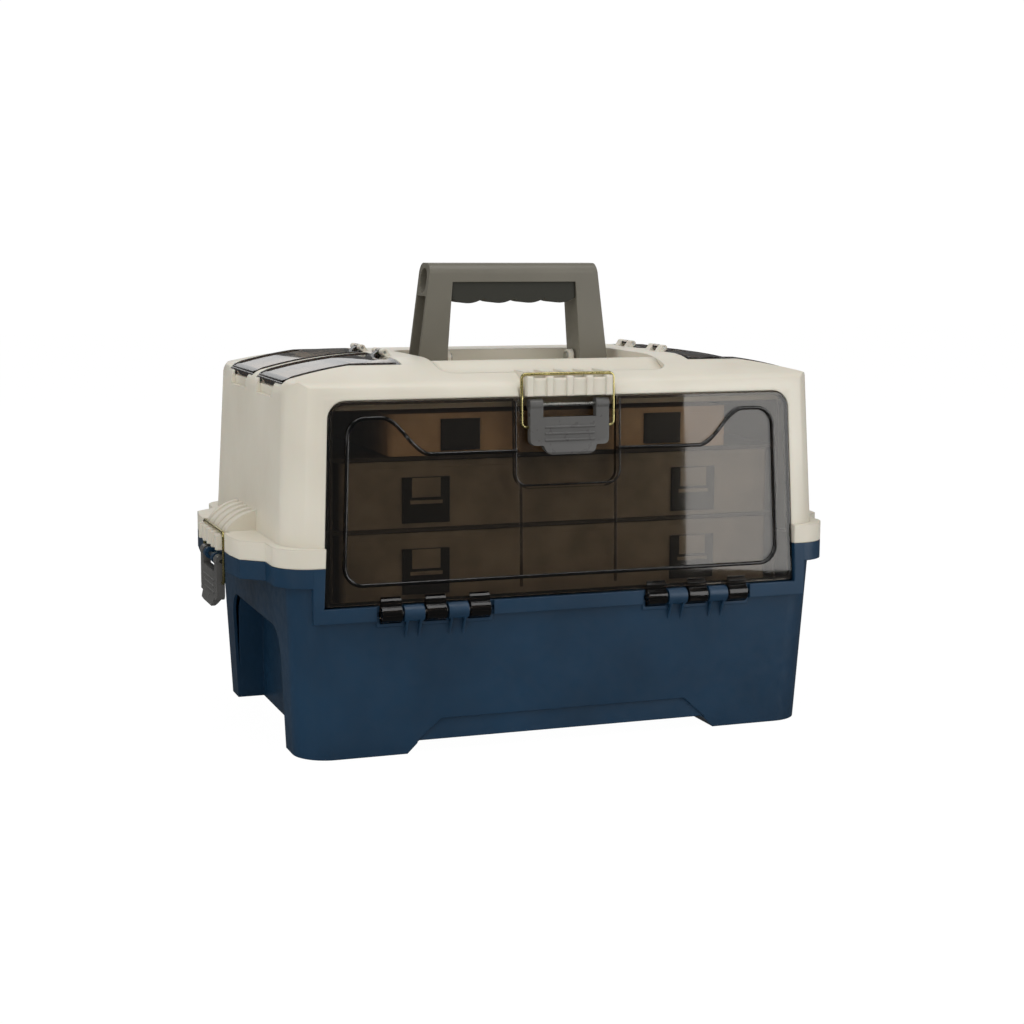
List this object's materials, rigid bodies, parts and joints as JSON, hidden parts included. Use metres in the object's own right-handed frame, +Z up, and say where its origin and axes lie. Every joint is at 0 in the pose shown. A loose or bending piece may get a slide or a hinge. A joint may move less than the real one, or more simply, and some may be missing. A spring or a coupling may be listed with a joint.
{
  "type": "fishing tackle cabinet",
  "caption": "Fishing tackle cabinet with a domed lid over a drafted base, smoke front door, sliding utility boxes, top compartments, wire latches and a folding handle.",
  "frame": {"origin": "bottom centre of the base, on the floor plane, midway between the outer faces of the corner columns", "axes": "+X to the right along the length seen from the front, +Y to the rear, +Z up"},
  "size_m": [0.5094, 0.2975, 0.3688],
  "materials": {
    "cream_plastic": "satin moulded",
    "navy_plastic": "satin moulded",
    "smoke_plastic": "clear gloss, smoke tint",
    "rack_plastic": "moulded",
    "latch_plastic": "satin moulded",
    "brass_wire": "bright drawn wire",
    "handle_plastic": "fine texture",
    "grip_rubber": "soft matte",
    "box_plastic": "clear moulded",
    "box_latch_plastic": "moulded",
    "pin_steel": "drawn"
  },
  "bodies": {
    "base": {"base_tub": "navy_plastic", "front_hinge_pin_left": "pin_steel", "front_hinge_pin_right": "pin_steel", "rear_hinge_pin_left": "pin_steel", "rear_hinge_pin_right": "pin_steel", "left_latch_pin": "pin_steel", "right_latch_pin": "pin_steel"},
    "lid": {"lid_shell": "cream_plastic", "rack_side_left": "rack_plastic", "rack_side_right": "rack_plastic", "rack_shelf_low": "rack_plastic", "rack_shelf_middle": "rack_plastic", "rack_shelf_high": "rack_plastic", "handle_pin_left": "pin_steel", "handle_pin_right": "pin_steel", "top_pin_front_left": "pin_steel", "top_pin_front_right": "pin_steel", "top_pin_rear_left": "pin_steel", "top_pin_rear_right": "pin_steel"},
    "door": {"door_panel": "smoke_plastic", "front_latch_pin": "pin_steel"},
    "front_lever": {"front_latch_lever": "latch_plastic"},
    "front_bail": {"front_latch_bail": "brass_wire"},
    "left_lever": {"left_latch_lever": "latch_plastic"},
    "left_bail": {"left_latch_bail": "brass_wire"},
    "right_lever": {"right_latch_lever": "latch_plastic"},
    "right_bail": {"right_latch_bail": "brass_wire"},
    "handle": {"handle_frame": "handle_plastic", "handle_grip": "grip_rubber"},
    "top_lid_front_left": {"top_lid_front_left": "smoke_plastic"},
    "top_lid_rear_left": {"top_lid_rear_left": "smoke_plastic"},
    "top_lid_front_right": {"top_lid_front_right": "smoke_plastic"},
    "top_lid_rear_right": {"top_lid_rear_right": "smoke_plastic"},
    "box_low": {"box_low_tray": "box_plastic", "box_low_cover": "box_plastic", "box_low_latch_left": "box_latch_plastic", "box_low_latch_right": "box_latch_plastic"},
    "box_middle": {"box_middle_tray": "box_plastic", "box_middle_cover": "box_plastic", "box_middle_latch_left": "box_latch_plastic", "box_middle_latch_right": "box_latch_plastic"},
    "box_high": {"box_high_tray": "box_plastic", "box_high_cover": "box_plastic", "box_high_latch_left": "box_latch_plastic", "box_high_latch_right": "box_latch_plastic"}
  },
  "joints": [
    {"name": "lid_hinge", "type": "hinge", "parent": "base", "child": "lid", "pos_m": [0, 0.1474, 0.1476], "axis": [-1, 0, 0], "range_deg": [0, 100]},
    {"name": "door_hinge", "type": "hinge", "parent": "base", "child": "door", "pos_m": [0, -0.13935, 0.1106], "axis": [1, 0, 0], "range_deg": [0, 120]},
    {"name": "front_latch_hinge", "type": "hinge", "parent": "door", "child": "front_lever", "pos_m": [0, -0.13372, 0.264], "axis": [-1, 0, 0], "range_deg": [0, 110]},
    {"name": "front_bail_hinge", "type": "hinge", "parent": "front_lever", "child": "front_bail", "pos_m": [0, -0.13379, 0.24699], "axis": [-1, 0, 0], "range_deg": [-110, 0]},
    {"name": "left_latch_hinge", "type": "hinge", "parent": "base", "child": "left_lever", "pos_m": [-0.2486, 0, 0.1384], "axis": [0, 1, 0], "range_deg": [0, 110]},
    {"name": "left_bail_hinge", "type": "hinge", "parent": "left_lever", "child": "left_bail", "pos_m": [-0.248, 0, 0.1214], "axis": [0, 1, 0], "range_deg": [-110, 0]},
    {"name": "right_latch_hinge", "type": "hinge", "parent": "base", "child": "right_lever", "pos_m": [0.2486, 0, 0.1384], "axis": [0, -1, 0], "range_deg": [0, 110]},
    {"name": "right_bail_hinge", "type": "hinge", "parent": "right_lever", "child": "right_bail", "pos_m": [0.248, 0, 0.1214], "axis": [0, -1, 0], "range_deg": [-110, 0]},
    {"name": "handle_fold", "type": "hinge", "parent": "lid", "child": "handle", "pos_m": [0, 0, 0.2915], "axis": [1, 0, 0], "range_deg": [0, 90]},
    {"name": "top_lid_front_left_hinge", "type": "hinge", "parent": "lid", "child": "top_lid_front_left", "pos_m": [-0.12, 0, 0.2999], "axis": [0, 1, 0], "range_deg": [0, 105]},
    {"name": "top_lid_rear_left_hinge", "type": "hinge", "parent": "lid", "child": "top_lid_rear_left", "pos_m": [-0.12, 0, 0.2999], "axis": [0, 1, 0], "range_deg": [0, 105]},
    {"name": "top_lid_front_right_hinge", "type": "hinge", "parent": "lid", "child": "top_lid_front_right", "pos_m": [0.12, 0, 0.2999], "axis": [0, -1, 0], "range_deg": [0, 105]},
    {"name": "top_lid_rear_right_hinge", "type": "hinge", "parent": "lid", "child": "top_lid_rear_right", "pos_m": [0.12, 0, 0.2999], "axis": [0, -1, 0], "range_deg": [0, 105]},
    {"name": "box_low_slide", "type": "slide", "parent": "lid", "child": "box_low", "axis": [0, -1, 0], "range_m": [0, 0.03]},
    {"name": "box_middle_slide", "type": "slide", "parent": "lid", "child": "box_middle", "axis": [0, -1, 0], "range_m": [0, 0.08]},
    {"name": "box_high_slide", "type": "slide", "parent": "lid", "child": "box_high", "axis": [0, -1, 0], "range_m": [0, 0.12]}
  ],
  "couplings": [
    {"joint": "front_bail_hinge", "follows": "front_latch_hinge", "ratio": -1},
    {"joint": "left_bail_hinge", "follows": "left_latch_hinge", "ratio": -1},
    {"joint": "right_bail_hinge", "follows": "right_latch_hinge", "ratio": -1},
    {"joint": "box_low_slide", "follows": "door_hinge", "m_per_rad": 0.014323},
    {"joint": "box_middle_slide", "follows": "door_hinge", "m_per_rad": 0.038197},
    {"joint": "box_high_slide", "follows": "door_hinge", "m_per_rad": 0.057295}
  ]
}
